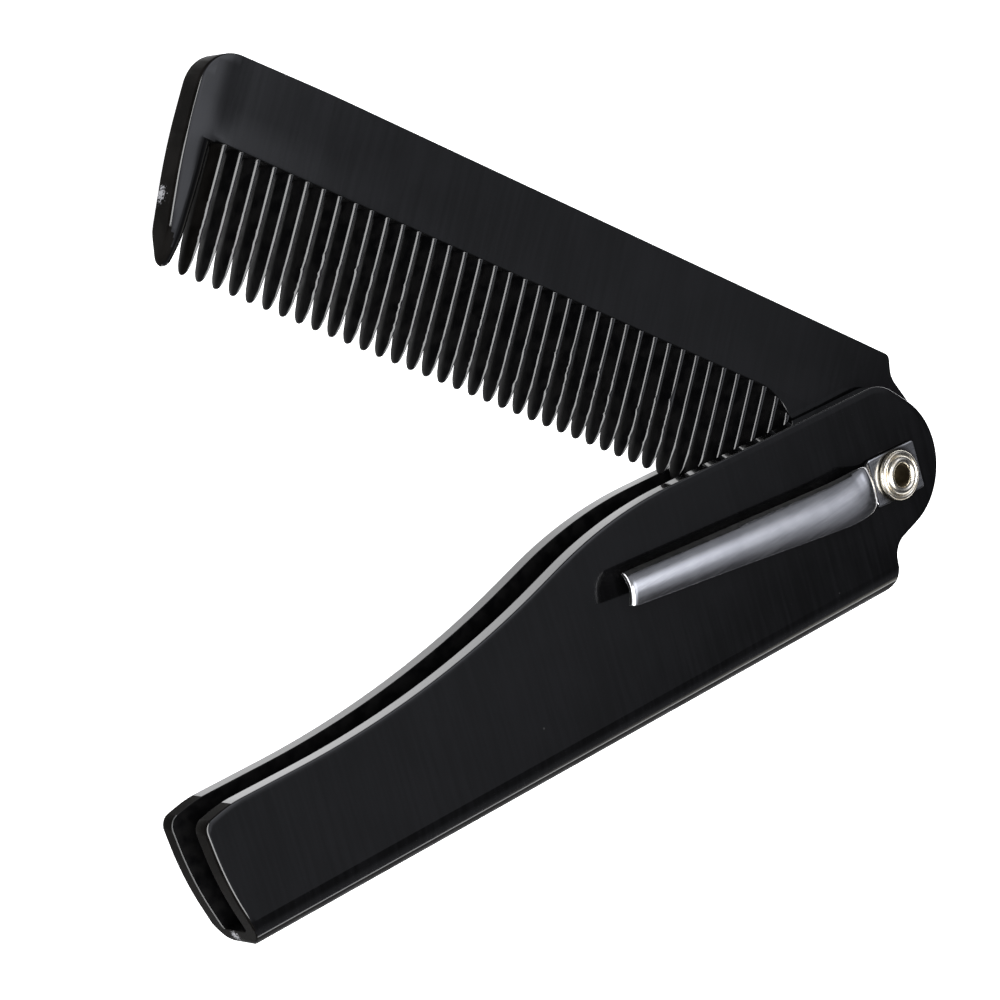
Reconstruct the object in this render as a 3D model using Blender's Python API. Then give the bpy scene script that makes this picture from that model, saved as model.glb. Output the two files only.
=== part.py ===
"""Folding pocket comb: a toothed blade that turns on a hollow rivet and folds into a channel handle.

Units are metres and +Z is up. The comb lies on the back of its handle, on Z = 0, with the origin under
the middle of the open comb. The handle runs along X with its closed spine at -Y. Every piece is drawn
about the rivet's axis, which is vertical; the blade is drawn folded into the handle and turned open.
"""
import math

import bmesh
import bpy
from mathutils import Matrix, Vector

MM = 0.001

# The rivet's axis, measured from the middle of the open comb.
PIVOT = (39.25 * MM, -24.6 * MM, 0.0)

# Handle: two plates joined along the spine, moulded in one piece.
HANDLE_THICKNESS = 6.6 * MM
PLATE_THICKNESS = 1.6 * MM
SPINE_WALL = 1.6 * MM
SPINE_ROUNDING = 2.85 * MM
HANDLE_EDGE = 0.2 * MM
SPINE_Y = -11.0 * MM
WAIST_Y = 1.98 * MM
CREST_Y = 9.3 * MM

# Blade: comb body and teeth, between the plates.
BLADE_THICKNESS = 2.8 * MM
BLADE_EDGE = 0.2 * MM
BLADE_BOTTOM_Z = (HANDLE_THICKNESS - BLADE_THICKNESS) / 2
BLADE_MID_Z = HANDLE_THICKNESS / 2
BACK_Y = 11.5 * MM
ROOT_Y = 3.5 * MM
TIP_Y = -8.0 * MM
OPEN_ANGLE = math.radians(38.0)

# Teeth: the first one is next to the guard tooth at the free end.
TOOTH_COUNT = 39
TOOTH_PITCH = 1.8 * MM
FIRST_TOOTH_X = -81.75 * MM
TOOTH_OVERLAP = 0.6 * MM
LAST_STRAIGHT_ROOT_X = -17.6 * MM
ROOT_BEND_RADIUS = 6.0 * MM

# Rivet and the holes that it passes through.
BARREL_RADIUS = 1.5 * MM
BORE_RADIUS = 1.2 * MM
PIVOT_HOLE_RADIUS = 1.8 * MM
FLANGE_RADIUS = 2.45 * MM
FLANGE_CROWN = 0.7 * MM
FLANGE_RIM = 0.25 * MM
SEAT_GAP = 0.25 * MM
COUNTERBORE_RADIUS = 2.75 * MM
COUNTERBORE_DEPTH = 0.8 * MM
BACK_FLANGE_INSET = 0.05 * MM

# Pocket clip: sheet metal, a flat tab under the rivet and an arched strip.
CLIP_SHEET = 0.4 * MM
CLIP_TAB_Z = HANDLE_THICKNESS + SEAT_GAP
FLANGE_Z = CLIP_TAB_Z + CLIP_SHEET + SEAT_GAP
CLIP_POINTS_ACROSS = 9

ARC_TOLERANCE = 0.012 * MM
TURNED_SIDES = 32
BLACK_PLASTIC = (0.012, 0.012, 0.013, 1.0)
STEEL = (0.55, 0.55, 0.56, 1.0)
NICKEL = (0.72, 0.69, 0.62, 1.0)

# Outlines are belts round circles: centre x, centre y and radius, in millimetres. A belt runs with the
# solid on its left, outside each circle of positive radius and hollowed in round a negative one.
HANDLE_BELT = (
    # x, y, radius
    (-82.65, SPINE_Y / MM + 0.6, 0.6),       # foot of the free end
    (-4.0, SPINE_Y / MM + 1.6, 1.6),         # heel at the end of the spine
    (-0.05, -8.15, -2.2),                    # hollow beside the round end
    (-0.45, 1.15, 6.8),                      # round end
    (-0.5, 4.45, 4.5),                       # top of the round end
    (-28.2, CREST_Y / MM - 48.0, 48.0),      # crest over the teeth
    (-74.75, WAIST_Y / MM + 103.2, -103.2),  # long hollow of the waist
    (-81.2, WAIST_Y / MM - 12.0, 12.0),      # fall towards the free end
    (-84.35, 0.45, 1.1),                     # top corner of the free end
    (-55.42, 1.0, 30.0),                     # bowed end edge
)
ROOT_BEND_Y = ROOT_Y - ROOT_BEND_RADIUS
BLADE_BELT = (
    # x, y, radius
    (-82.7, ROOT_Y / MM - 0.3, -0.3),                                        # corner inside the guard tooth
    (LAST_STRAIGHT_ROOT_X / MM, ROOT_BEND_Y / MM, -ROOT_BEND_RADIUS / MM),   # bend of the root line
    (-0.45, 1.15, 6.6),                                                      # round end
    (-0.5, 4.45, 4.2),                                                       # top of the round end
    (0.45, 11.2, -2.25),                                                     # hollow beside the shoulder
    (-2.65, BACK_Y / MM - 0.75, 0.75),                                       # shoulder
    (-71.0, BACK_Y / MM - 150.0, 150.0),                                     # fall of the back
    (-82.35, 7.95, 3.25),                                                    # top corner of the free end
    (-29.65, 5.0, 56.0),                                                     # bowed outer edge
    (-83.95, TIP_Y / MM + 0.75, 0.75),                                       # tip of the guard tooth
)

# Tooth sections, from the root to the tip, in millimetres.
TOOTH_SECTIONS = (
    # y, width in the middle, width of the ridge, thickness
    (4.1, 1.10, 0.62, 2.40),
    (3.4, 1.10, 0.55, 2.78),
    (2.9, 1.06, 0.36, 2.78),
    (-2.0, 0.96, 0.34, 2.70),
    (-5.2, 0.86, 0.32, 2.46),
    (-6.6, 0.74, 0.28, 1.96),
    (-7.5, 0.54, 0.22, 1.22),
    (-8.0, 0.26, 0.12, 0.40),
)

# Clip sections, from the tab's end to the strip's tip, in millimetres; heights are over the tab.
CLIP_SECTIONS = (
    # x, centre y, half width, height of the edges, rise of the arch
    (3.1, 0.05, 2.40, 0.00, 0.00),
    (-3.2, 0.25, 2.35, 0.00, 0.00),
    (-4.0, 0.30, 2.00, 0.18, 0.10),
    (-5.4, 0.42, 1.80, 1.30, 0.35),
    (-6.4, 0.52, 1.92, 1.58, 0.55),
    (-8.0, 0.62, 2.08, 1.62, 0.72),
    (-10.5, 0.75, 2.10, 1.62, 0.80),
    (-24.0, 1.90, 1.76, 1.55, 0.80),
    (-36.3, 2.92, 1.44, 1.42, 0.80),
    (-37.0, 2.98, 1.30, 1.40, 0.74),
)


def clear_scene():
    """Remove what a new file holds."""
    for item in list(bpy.data.objects):
        bpy.data.objects.remove(item, do_unlink=True)


def material(name, colour, roughness, metallic):
    """A Principled material of one colour."""
    made = bpy.data.materials.new(name)
    made.use_nodes = True
    shader = made.node_tree.nodes["Principled BSDF"]
    shader.inputs["Base Color"].default_value = colour
    shader.inputs["Roughness"].default_value = roughness
    shader.inputs["Metallic"].default_value = metallic
    made.diffuse_color = colour
    return made


def new_object(name, mesh_data, finish):
    """Put a bmesh into a named object with outward faces."""
    bmesh.ops.recalc_face_normals(mesh_data, faces=mesh_data.faces)
    mesh = bpy.data.meshes.new(name)
    mesh_data.to_mesh(mesh)
    mesh_data.free()
    mesh.shade_smooth()
    mesh.set_sharp_from_angle(angle=math.radians(30.0))
    made = bpy.data.objects.new(name, mesh)
    bpy.context.scene.collection.objects.link(made)
    if finish:
        made.data.materials.append(finish)
    return made


def tangent_heading(first, second):
    """Heading of the line that leaves one belt circle and meets the next."""
    dx = second[0] - first[0]
    dy = second[1] - first[1]
    turn = math.asin((second[2] - first[2]) / math.hypot(dx, dy))
    return math.atan2(dy, dx) - turn


def belt(rows):
    """Points of a belt round circles, in metres, each with its outward direction."""
    result = []
    for index, row in enumerate(rows):
        before = rows[index - 1]
        after = rows[(index + 1) % len(rows)]
        start = tangent_heading(before, row)
        swing = tangent_heading(row, after) - start
        radius = row[2] * MM
        if radius > 0:
            swing = swing % math.tau
        else:
            swing = -(-swing % math.tau)
        step = 2 * math.acos(1 - ARC_TOLERANCE / max(abs(radius), 2 * ARC_TOLERANCE))
        count = max(1, math.ceil(abs(swing) / step))
        for part in range(count + 1):
            heading = start + swing * part / count
            outward = Vector((math.sin(heading), -math.cos(heading)))
            centre = Vector((row[0] * MM, row[1] * MM))
            result.append((centre + outward * radius, outward))
    return result


def slab(outline, bottom, top, edge):
    """A closed slab between two heights, its rims rounded in two steps."""
    made = bmesh.new()
    slant = edge * (1 - math.sqrt(0.5))
    rims = ((0.0, edge), (slant, slant), (edge, 0.0))
    levels = [(bottom + rise, inset) for rise, inset in rims]
    levels += [(top - rise, inset) for rise, inset in reversed(rims)]
    rings = []
    for height, inset in levels:
        rings.append([made.verts.new((*(point - outward * inset), height)) for point, outward in outline])
    for lower, upper in zip(rings, rings[1:]):
        for index in range(len(outline)):
            after = (index + 1) % len(outline)
            made.faces.new((lower[index], lower[after], upper[after], upper[index]))
    made.faces.new(reversed(rings[0]))
    made.faces.new(rings[-1])
    return made


def loft(rings):
    """A closed solid through rings of equal length."""
    made = bmesh.new()
    verts = [[made.verts.new(point) for point in ring] for ring in rings]
    for lower, upper in zip(verts, verts[1:]):
        for index in range(len(lower)):
            after = (index + 1) % len(lower)
            made.faces.new((lower[index], lower[after], upper[after], upper[index]))
    made.faces.new(reversed(verts[0]))
    made.faces.new(verts[-1])
    return made


def cylinder(name, radius, bottom, top):
    """A plain round cutter on the rivet's axis."""
    made = bmesh.new()
    place = Matrix.Translation((0.0, 0.0, (bottom + top) / 2))
    bmesh.ops.create_cone(made, cap_ends=True, segments=TURNED_SIDES, radius1=radius, radius2=radius,
                          depth=top - bottom, matrix=place)
    return as_cutter(new_object(name, made, None))


def box(name, low, high):
    """A plain box cutter between two corners."""
    made = bmesh.new()
    size = Vector(high) - Vector(low)
    middle = (Vector(high) + Vector(low)) / 2
    place = Matrix.Translation(middle) @ Matrix.Diagonal((*size, 1.0))
    bmesh.ops.create_cube(made, size=1.0, matrix=place)
    return as_cutter(new_object(name, made, None))


def as_cutter(item):
    """Keep a helper out of the model."""
    item.hide_render = True
    item.display_type = "WIRE"
    return item


def combine(item, other, operation):
    """Add an exact Boolean modifier."""
    step = item.modifiers.new(other.name, "BOOLEAN")
    step.operation = operation
    step.object = other
    step.solver = "EXACT"
    other.parent = item


def spine_cutter(side):
    """The stock outside the spine's rounding, along the whole handle, on the front or the back."""
    centre_y = SPINE_Y + SPINE_ROUNDING
    centre_z = HANDLE_THICKNESS / 2 - SPINE_ROUNDING
    profile = []
    steps = 8
    for step in range(steps):
        turn = math.pi / 2 * (step + 0.5) / steps
        reach = SPINE_ROUNDING / math.cos(math.pi / 4 / steps)
        profile.append((centre_y - reach * math.sin(turn), centre_z + reach * math.cos(turn)))
    past = 2 * MM
    slope = math.tan(math.pi / 4 / steps)
    profile.append((profile[-1][0] - past * slope, profile[-1][1] - past))
    profile.append((SPINE_Y - past, profile[-1][1]))
    profile.append((SPINE_Y - past, HANDLE_THICKNESS / 2 + past))
    profile.append((profile[0][0] + past, HANDLE_THICKNESS / 2 + past))
    profile.append((profile[0][0] + past, profile[0][1] + past * slope))
    rings = [[Vector((x, y, HANDLE_THICKNESS / 2 + side * z)) for y, z in profile]
             for x in (-90 * MM, 10 * MM)]
    return as_cutter(new_object("spine_" + ("front" if side > 0 else "back"), loft(rings), None))


def make_handle(finish):
    """Two plates and the spine wall, open along the top, at the free end and round the pivot."""
    outline = belt(HANDLE_BELT)
    handle = new_object("handle", slab(outline, 0.0, HANDLE_THICKNESS, HANDLE_EDGE), finish)
    combine(handle, spine_cutter(1), "DIFFERENCE")
    combine(handle, spine_cutter(-1), "DIFFERENCE")
    reach = 100 * MM
    channel = box("handle_channel",
                  (-reach, SPINE_Y + SPINE_WALL, PLATE_THICKNESS),
                  (reach, reach, HANDLE_THICKNESS - PLATE_THICKNESS))
    combine(handle, channel, "DIFFERENCE")
    margin = 1 * MM
    hole = cylinder("handle_pivot_hole", PIVOT_HOLE_RADIUS, -margin, HANDLE_THICKNESS + margin)
    combine(handle, hole, "DIFFERENCE")
    recess = cylinder("handle_back_recess", COUNTERBORE_RADIUS, -margin, COUNTERBORE_DEPTH)
    combine(handle, recess, "DIFFERENCE")
    return handle


def tooth_ring(x, section):
    """One six-sided tooth section: ridges front and back, widest in the middle."""
    y, width, ridge, thickness = (value * MM for value in section)
    half_width = width / 2
    half_ridge = ridge / 2
    half_depth = thickness / 2
    corners = ((-half_ridge, half_depth), (half_ridge, half_depth), (half_width, 0.0),
               (half_ridge, -half_depth), (-half_ridge, -half_depth), (-half_width, 0.0))
    return [Vector((x + across, y, BLADE_MID_Z + depth)) for across, depth in corners]


def root_drop(x):
    """How far the root line has bent down at a tooth near the pivot."""
    past = x - LAST_STRAIGHT_ROOT_X
    if past <= 0:
        return 0.0
    return ROOT_BEND_RADIUS - math.sqrt(ROOT_BEND_RADIUS ** 2 - past ** 2)


def make_teeth():
    """All teeth as one helper that is joined to the blade."""
    teeth = bmesh.new()
    for number in range(TOOTH_COUNT):
        x = FIRST_TOOTH_X + number * TOOTH_PITCH
        drop = root_drop(x)
        rings = []
        for row, section in enumerate(TOOTH_SECTIONS):
            ring = tooth_ring(x, section)
            if row < 3:
                ring = [point - Vector((0.0, drop, 0.0)) for point in ring]
            rings.append(ring)
        tooth = loft(rings)
        bmesh.ops.recalc_face_normals(tooth, faces=tooth.faces)
        mesh = bpy.data.meshes.new("tooth")
        tooth.to_mesh(mesh)
        tooth.free()
        teeth.from_mesh(mesh)
        bpy.data.meshes.remove(mesh)
    return as_cutter(new_object("blade_teeth", teeth, None))


def guard_tip_cutter(side):
    """A wedge that thins the guard tooth's tip on one face."""
    start = TIP_Y + 2.6 * MM
    half = BLADE_THICKNESS / 2
    depth = 0.85 * MM
    out = 1.5 * MM
    left = -90 * MM
    right = FIRST_TOOTH_X - 0.9 * MM
    profile = []
    steps = 5
    for index in range(steps + 1):
        part = index / steps
        y = start - (start - TIP_Y) * part
        inset = depth * (1 - math.sqrt(max(0.0, 1 - part ** 2)))
        profile.append((y, half - inset))
    profile.append((TIP_Y - out, half - depth))
    profile.append((TIP_Y - out, half + out))
    profile.append((start, half + out))
    rings = [[Vector((x, y, BLADE_MID_Z + side * z)) for y, z in profile] for x in (left, right)]
    return as_cutter(new_object("guard_tip_" + ("front" if side > 0 else "back"), loft(rings), None))


def make_blade(finish):
    """Comb body, guard tooth and teeth in one piece, turned open about the rivet."""
    top = BLADE_BOTTOM_Z + BLADE_THICKNESS
    outline = belt(BLADE_BELT)
    blade = new_object("comb_blade", slab(outline, BLADE_BOTTOM_Z, top, BLADE_EDGE), finish)
    combine(blade, guard_tip_cutter(1), "DIFFERENCE")
    combine(blade, guard_tip_cutter(-1), "DIFFERENCE")
    combine(blade, make_teeth(), "UNION")
    hole = cylinder("blade_pivot_hole", PIVOT_HOLE_RADIUS, 0.0, HANDLE_THICKNESS)
    combine(blade, hole, "DIFFERENCE")
    return blade


def clip_ring(section):
    """One clip section: the arched sheet's top from one edge to the other, and back underneath."""
    x, centre, half_width, height, arch = (value * MM for value in section)
    under = []
    over = []
    for index in range(CLIP_POINTS_ACROSS):
        across = 2 * index / (CLIP_POINTS_ACROSS - 1) - 1
        slope = -2 * arch * across / half_width
        normal = Vector((0.0, -slope, 1.0)).normalized()
        point = Vector((x, centre + half_width * across, CLIP_TAB_Z + height + arch * (1 - across ** 2)))
        under.append(point)
        over.append(point + normal * CLIP_SHEET)
    return over + under[::-1]


def make_clip(finish):
    """Tab, ramp and arched strip bent from one piece of sheet."""
    clip = new_object("pocket_clip", loft([clip_ring(section) for section in CLIP_SECTIONS]), finish)
    margin = 1 * MM
    hole = cylinder("clip_hole", PIVOT_HOLE_RADIUS, CLIP_TAB_Z - margin, FLANGE_Z + margin)
    combine(clip, hole, "DIFFERENCE")
    return clip


def rivet_profile():
    """Half section of the hollow rivet as radius and height, up the outside and down the bore."""
    back = BACK_FLANGE_INSET
    seat = COUNTERBORE_DEPTH - SEAT_GAP
    crown_radius = (BORE_RADIUS + FLANGE_RADIUS) / 2
    profile = [(FLANGE_RADIUS, back + FLANGE_RIM / 2), (FLANGE_RADIUS, seat), (BARREL_RADIUS, seat),
               (BARREL_RADIUS, FLANGE_Z), (FLANGE_RADIUS, FLANGE_Z), (FLANGE_RADIUS, FLANGE_Z + FLANGE_RIM)]
    reach = FLANGE_RADIUS - crown_radius
    rise = FLANGE_CROWN - FLANGE_RIM
    steps = 4
    for index in range(1, 2 * steps):
        angle = math.pi * index / (2 * steps)
        profile.append((crown_radius + reach * math.cos(angle), FLANGE_Z + FLANGE_RIM + rise * math.sin(angle)))
    profile.append((BORE_RADIUS, FLANGE_Z + FLANGE_RIM))
    profile.append((BORE_RADIUS, back + FLANGE_RIM))
    profile.append((BORE_RADIUS + FLANGE_RIM, back))
    profile.append((FLANGE_RADIUS - FLANGE_RIM / 2, back))
    return profile


def make_rivet(finish):
    """Hollow rivet turned round the pivot axis."""
    made = bmesh.new()
    profile = rivet_profile()
    rings = []
    for side in range(TURNED_SIDES):
        angle = math.tau * side / TURNED_SIDES
        ring = [made.verts.new((radius * math.cos(angle), radius * math.sin(angle), height))
                for radius, height in profile]
        rings.append(ring)
    for side in range(TURNED_SIDES):
        here = rings[side]
        there = rings[(side + 1) % TURNED_SIDES]
        for index in range(len(profile)):
            after = (index + 1) % len(profile)
            made.faces.new((here[index], there[index], there[after], here[after]))
    return new_object("eyelet_rivet", made, finish)


def main():
    clear_scene()
    plastic = material("black_plastic", BLACK_PLASTIC, 0.25, 0.0)
    steel = material("clip_steel", STEEL, 0.25, 1.0)
    nickel = material("rivet_nickel", NICKEL, 0.2, 1.0)
    handle = make_handle(plastic)
    blade = make_blade(plastic)
    clip = make_clip(steel)
    rivet = make_rivet(nickel)
    for item in (handle, blade, clip, rivet):
        item.location = PIVOT
    blade.rotation_euler.z = -OPEN_ANGLE


main()
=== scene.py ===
"""Looks of the folding comb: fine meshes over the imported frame, procedural finishes, floor, light, camera.

Units are metres, +Z is up, and the frame's own axes are used throughout. Each piece is drawn about the
rivet's axis and then set in place, so that the numbers read as in the solids.
"""
import math
import random

import bmesh
import bpy
from mathutils import Matrix, Vector


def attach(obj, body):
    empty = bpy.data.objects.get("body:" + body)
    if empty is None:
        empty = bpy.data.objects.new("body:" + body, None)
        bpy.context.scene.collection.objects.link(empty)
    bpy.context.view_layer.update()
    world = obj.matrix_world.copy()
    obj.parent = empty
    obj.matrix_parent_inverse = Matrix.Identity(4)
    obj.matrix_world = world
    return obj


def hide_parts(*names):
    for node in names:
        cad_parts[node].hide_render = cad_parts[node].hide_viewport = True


MM = 0.001
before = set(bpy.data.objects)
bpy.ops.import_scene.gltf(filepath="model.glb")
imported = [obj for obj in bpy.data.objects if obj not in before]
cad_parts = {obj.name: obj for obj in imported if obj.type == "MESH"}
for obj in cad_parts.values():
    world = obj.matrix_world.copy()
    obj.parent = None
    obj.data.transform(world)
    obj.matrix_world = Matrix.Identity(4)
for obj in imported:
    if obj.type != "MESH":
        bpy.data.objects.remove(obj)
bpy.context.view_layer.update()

PIVOT = Vector((39.25 * MM, -24.6 * MM, 0.0))
OPEN_ANGLE_DEG = 38.0

# Handle.
HANDLE_THICKNESS = 6.6 * MM
PLATE_THICKNESS = 1.6 * MM
SPINE_WALL = 1.6 * MM
SPINE_ROUNDING = 2.85 * MM
SPINE_STEPS = 28
HANDLE_SIDE_EDGE = 0.14 * MM
HANDLE_LIP_WIDTH = 0.7 * MM
HANDLE_LIP_DROP = 0.03 * MM
HANDLE_END_EDGE = 0.30 * MM
CHANNEL_FILLET = 0.4 * MM
INNER_RIM = 0.11 * MM
SPINE_Y = -11.0 * MM
WAIST_Y = 1.98 * MM
CREST_Y = 9.3 * MM

# Blade.
BLADE_THICKNESS = 2.8 * MM
BLADE_SIDE_EDGE = 0.08 * MM
BLADE_END_EDGE = 0.34 * MM
BLADE_BOTTOM_Z = (HANDLE_THICKNESS - BLADE_THICKNESS) / 2
BLADE_MID_Z = HANDLE_THICKNESS / 2
BACK_Y = 11.5 * MM
ROOT_Y = 3.5 * MM
TIP_Y = -8.0 * MM
LAST_STRAIGHT_ROOT_X = -17.6 * MM
ROOT_BEND_RADIUS = 6.0 * MM

# The blade's front is slightly hollow above the teeth and falls away towards its free end.
FACE_DIP_LOW_Y = 2.3 * MM
FACE_DIP_PEAK_Y = 3.9 * MM
FACE_DIP_HIGH_Y = 7.0 * MM
FACE_DIP_SLOPE = 0.07
FACE_DIP_BACK_FADE = 0.25
FACE_DIP_END_FADE = 0.5
FACE_DIP_END_X = -81 * MM
FACE_DIP_END_LENGTH = 3 * MM
END_CROWN_WIDTH = 5.9 * MM
END_CROWN_CURVE = 3.8
LEAN_TOP_Y = 4.5 * MM
LEAN_HEIGHT = 8 * MM
LEAN_GAIN = 1.5

# Guard tooth at the blade's free end.
GUARD_CREST = 1.0 * MM
GUARD_CROWN = 60.0
GUARD_CROWN_HEIGHT = 3 * MM
GUARD_LIFT = 0.12 * MM
GUARD_LEFT_X = -85.43 * MM
GUARD_LEFT_SLOPE = -0.099
GUARD_FLANK = 1.4 * MM
GUARD_FLANK_POWER = 0.8
GUARD_ZONE_X = -82.45 * MM
GUARD_TIP_LENGTH = 3.2 * MM
GUARD_TIP_OVAL_RATE = 1.3
GUARD_TIP_WIDTH_POWER = 0.4
GUARD_TIP_LAST_PART = 0.995

# Fine teeth. Heights along a tooth are in millimetres.
TOOTH_COUNT = 39
TOOTH_PITCH = 1.8 * MM
FIRST_TOOTH_X = -81.75 * MM
RIDGE_TILT = 0.5
TOOTH_ROOT_HEIGHTS = (4.1, 3.4, 2.9)
TOOTH_UPPER_HEIGHTS = (1.5, 0.0, -1.2)
TOOTH_SHANK_END = -6.4
TOOTH_SHANK_STEP = 0.26
TOOTH_TIP_START = -6.5
TOOTH_TIP_HEIGHTS = (-6.7, -6.95, -7.2, -7.4, -7.6, -7.75, -7.87, -7.95, -8.0)
TOOTH_TIP_POWER = 1.5
TOOTH_TIP_LEAST = 0.08
BURR_HEIGHT = 0.03
BURR_AMOUNTS = (0.3, 0.7, 1.0, 1.5, 2.0)
BURR_LOW = -6.3
BURR_HIGH = -0.5

# Rivet.
PIVOT_HOLE_RADIUS = 1.8 * MM
COUNTERBORE_RADIUS = 2.75 * MM
COUNTERBORE_DEPTH = 0.8 * MM
RIVET_SIDES = 96

# Clip. The strip's heights are measured from the solid tab's underside.
CLIP_BASE_Z = HANDLE_THICKNESS + 0.25 * MM
TAB_DROP = 0.2 * MM
CLIP_RAMP_HEIGHT = 1.2 * MM
CLIP_ROLL = 0.19
CLIP_LOW_SIDE = 0.42
CLIP_ARCH_SHARE = 0.86
CLIP_FULL_ARCH = 0.6 * MM
CLIP_RIM_SHARE = 0.25
CLIP_RIM_DROP = 0.13 * MM
CLIP_SINK = 0.09 * MM
CLIP_TIP_SHEAR = 0.3
CLIP_SHEAR_START_X = -25 * MM
CLIP_SHEAR_LENGTH = 12 * MM
CLIP_SHEET = 0.4 * MM
CLIP_SHEET_SHOWN = 0.32 * MM
CLIP_SHEET_SOFTNESS = 0.06 * MM
CLIP_EDGE = 0.05 * MM
CLIP_POINTS_ACROSS = 28
CLIP_STEPS_PER_ROW = 8

# Fineness of curves, and how far cutters reach past what they cut.
ARC_TOLERANCE = 0.004 * MM
RIM_STEPS = 5
FILLET_STEPS = 6
FLANK_STEPS = 12
TURNED_SIDES = 64
CUT_MARGIN = 1 * MM
NEAR = 0.1 * MM

HANDLE_BELT = (
    # x, y, radius
    (-82.42, SPINE_Y / MM + 1.0, 1.0),
    (-4.0, SPINE_Y / MM + 1.6, 1.6),
    (-0.05, -8.15, -2.2),
    (-0.45, 1.15, 6.8),
    (-0.5, 4.45, 4.5),
    (-28.2, CREST_Y / MM - 48.0, 48.0),
    (-74.75, WAIST_Y / MM + 103.2, -103.2),
    (-81.2, WAIST_Y / MM - 12.0, 12.0),
    (-84.35, 0.45, 1.1),
    (-55.42, 1.0, 30.0),
)
BLADE_BELT = (
    # x, y, radius
    (-82.45, ROOT_Y / MM - 0.3, -0.3),
    (LAST_STRAIGHT_ROOT_X / MM, (ROOT_Y - ROOT_BEND_RADIUS) / MM, -ROOT_BEND_RADIUS / MM),
    (-0.45, 1.15, 6.593),
    (-0.5, 4.45, 4.2),
    (0.45, 11.2, -2.25),
    (-2.65, BACK_Y / MM - 0.75, 0.75),
    (-71.0, BACK_Y / MM - 150.0, 150.0),
    (-82.13, 7.67, 3.6),
    (-29.75, 5.0, 56.0),
    (-83.95, TIP_Y / MM + 0.75, 0.75),
)
GUARD_RIGHT = (
    # y, x of the guard tooth's inner side in the middle of its thickness
    (ROOT_Y / MM - 0.15, -82.75),
    (0.5, -82.75),
    (-2.0, -82.85),
    (-5.0, -83.00),
    (-7.0, -83.10),
    (-9.0, -83.20),
)
TOOTH_SECTIONS = (
    # y, width in the middle, width of the ridge, thickness, softness of the corners
    (4.1, 1.10, 0.40, 2.66, 0.05),
    (3.4, 1.10, 0.38, 2.72, 0.05),
    (2.9, 1.06, 0.34, 2.73, 0.05),
    (-2.0, 0.96, 0.30, 2.69, 0.05),
    (-5.2, 0.86, 0.25, 2.46, 0.06),
    (-6.5, 0.76, 0.22, 2.02, 0.10),
    (-8.0, 0.62, 0.18, 1.30, 0.12),
)
CLIP_SECTIONS = (
    # x, centre y, half width, height of the edges, rise of the arch
    (3.15, 0.05, 2.15, 0.00, 0.00),
    (3.07, 0.05, 2.32, 0.00, 0.00),
    (2.85, 0.05, 2.40, 0.00, 0.00),
    (-3.0, 0.25, 2.37, 0.00, 0.00),
    (-3.25, 0.26, 2.30, 0.00, 0.00),
    (-3.5, 0.60, 1.90, 0.05, 0.00),
    (-4.0, 0.85, 1.62, 0.40, 0.08),
    (-4.6, 0.98, 1.56, 1.05, 0.25),
    (-5.2, 1.02, 1.70, 1.46, 0.40),
    (-5.7, 0.92, 1.88, 1.58, 0.52),
    (-6.4, 0.76, 2.04, 1.61, 0.64),
    (-8.0, 0.66, 2.12, 1.62, 0.76),
    (-10.5, 0.75, 2.10, 1.62, 0.80),
    (-24.0, 1.90, 1.76, 1.55, 0.80),
    (-36.4, 2.93, 1.44, 1.42, 0.80),
    (-36.75, 2.96, 1.40, 1.39, 0.79),
    (-36.93, 2.975, 1.36, 1.31, 0.78),
    (-37.0, 2.98, 1.33, 1.18, 0.76),
)
RIVET_RING = (
    # radius, height above the tab
    (2.36, 0.0), (2.42, 0.05), (2.44, 0.15), (2.44, 0.38), (2.41, 0.50), (2.35, 0.59), (2.26, 0.65),
    (2.16, 0.67), (2.06, 0.65), (1.99, 0.60), (1.95, 0.57), (1.92, 0.60), (1.88, 0.69), (1.81, 0.79),
    (1.71, 0.88), (1.60, 0.93), (1.49, 0.94), (1.37, 0.92), (1.26, 0.86), (1.17, 0.77), (1.11, 0.65),
    (1.08, 0.50), (1.07, 0.25),
)


# Mesh helpers

def new_object(name, made):
    """Put a bmesh into a named object with outward faces."""
    bmesh.ops.recalc_face_normals(made, faces=made.faces)
    mesh = bpy.data.meshes.new(name)
    made.to_mesh(mesh)
    made.free()
    item = bpy.data.objects.new(name, mesh)
    bpy.context.scene.collection.objects.link(item)
    return item


def clamp(value, low=0.0, high=1.0):
    """The value, held between two limits."""
    return max(low, min(high, value))


def ease(value):
    """A smooth step from 0 to 1."""
    part = clamp(value)
    return part * part * (3 - 2 * part)


def quarter(steps):
    """Angles from 0 to a quarter turn in equal steps."""
    return [math.pi / 2 * step / steps for step in range(steps + 1)]


def tangent_heading(first, second):
    """Heading of the line that leaves one belt circle and meets the next."""
    dx = second[0] - first[0]
    dy = second[1] - first[1]
    turn = math.asin((second[2] - first[2]) / math.hypot(dx, dy))
    return math.atan2(dy, dx) - turn


def belt(rows):
    """Points of a belt round circles, in metres, each with its outward direction."""
    result = []
    for index, row in enumerate(rows):
        before = rows[index - 1]
        after = rows[(index + 1) % len(rows)]
        start = tangent_heading(before, row)
        swing = tangent_heading(row, after) - start
        radius = row[2] * MM
        if radius > 0:
            swing = swing % math.tau
        else:
            swing = -(-swing % math.tau)
        step = 2 * math.acos(1 - ARC_TOLERANCE / max(abs(radius), 2 * ARC_TOLERANCE))
        count = max(1, math.ceil(abs(swing) / step))
        for part in range(count + 1):
            heading = start + swing * part / count
            outward = Vector((math.sin(heading), -math.cos(heading)))
            centre = Vector((row[0] * MM, row[1] * MM))
            result.append((centre + outward * radius, outward))
    return result


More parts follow.
